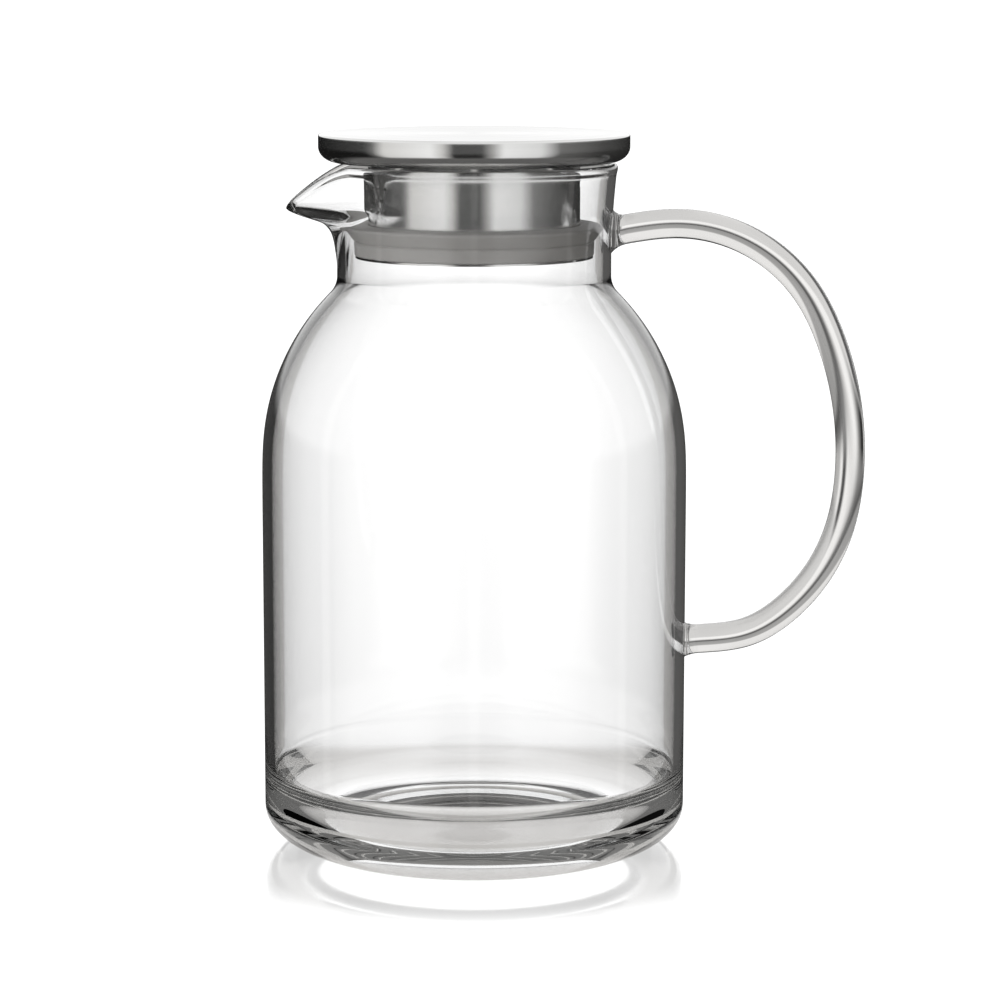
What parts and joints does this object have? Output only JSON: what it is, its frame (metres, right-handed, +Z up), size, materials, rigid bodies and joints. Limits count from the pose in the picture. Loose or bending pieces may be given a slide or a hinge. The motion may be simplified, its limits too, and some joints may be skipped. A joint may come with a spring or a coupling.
{
  "type": "covered glass water jug",
  "caption": "Large glass water jug: blown vessel with shoulder, neck and pulled beak, welded glass rod handle, and a lift-out steel lid with strainer collar on a silicone plug seal.",
  "frame": {"origin": "on the jug's axis, in the plane its foot ring stands on", "axes": "+Z up along the jug's axis, the beak points along -X, the handle along +X, and the XZ plane is the jug's mirror plane"},
  "size_m": [0.1926, 0.1356, 0.2284],
  "materials": {
    "glass": "clear fire-polished borosilicate",
    "steel": "fine lathe-brushed stainless steel",
    "core": "natural polypropylene",
    "silicone": "translucent grey silicone"
  },
  "bodies": {
    "jug": {"vessel_floor": "glass", "vessel_body": "glass", "vessel_shoulder": "glass", "vessel_neck": "glass", "glass_handle": "glass"},
    "seal": {"seal": "silicone"},
    "lid": {"lid_cap": "steel", "lid_base": "steel", "lid_core": "core", "collar": "steel"}
  },
  "joints": [
    {"name": "lid_lift", "type": "slide", "parent": "jug", "child": "seal", "axis": [0, 0, 1], "range_m": [0, 0.1]},
    {"name": "lid_turn", "type": "hinge", "parent": "seal", "child": "lid", "pos_m": [0, 0, 0], "axis": [0, 0, 1], "continuous": true}
  ]
}
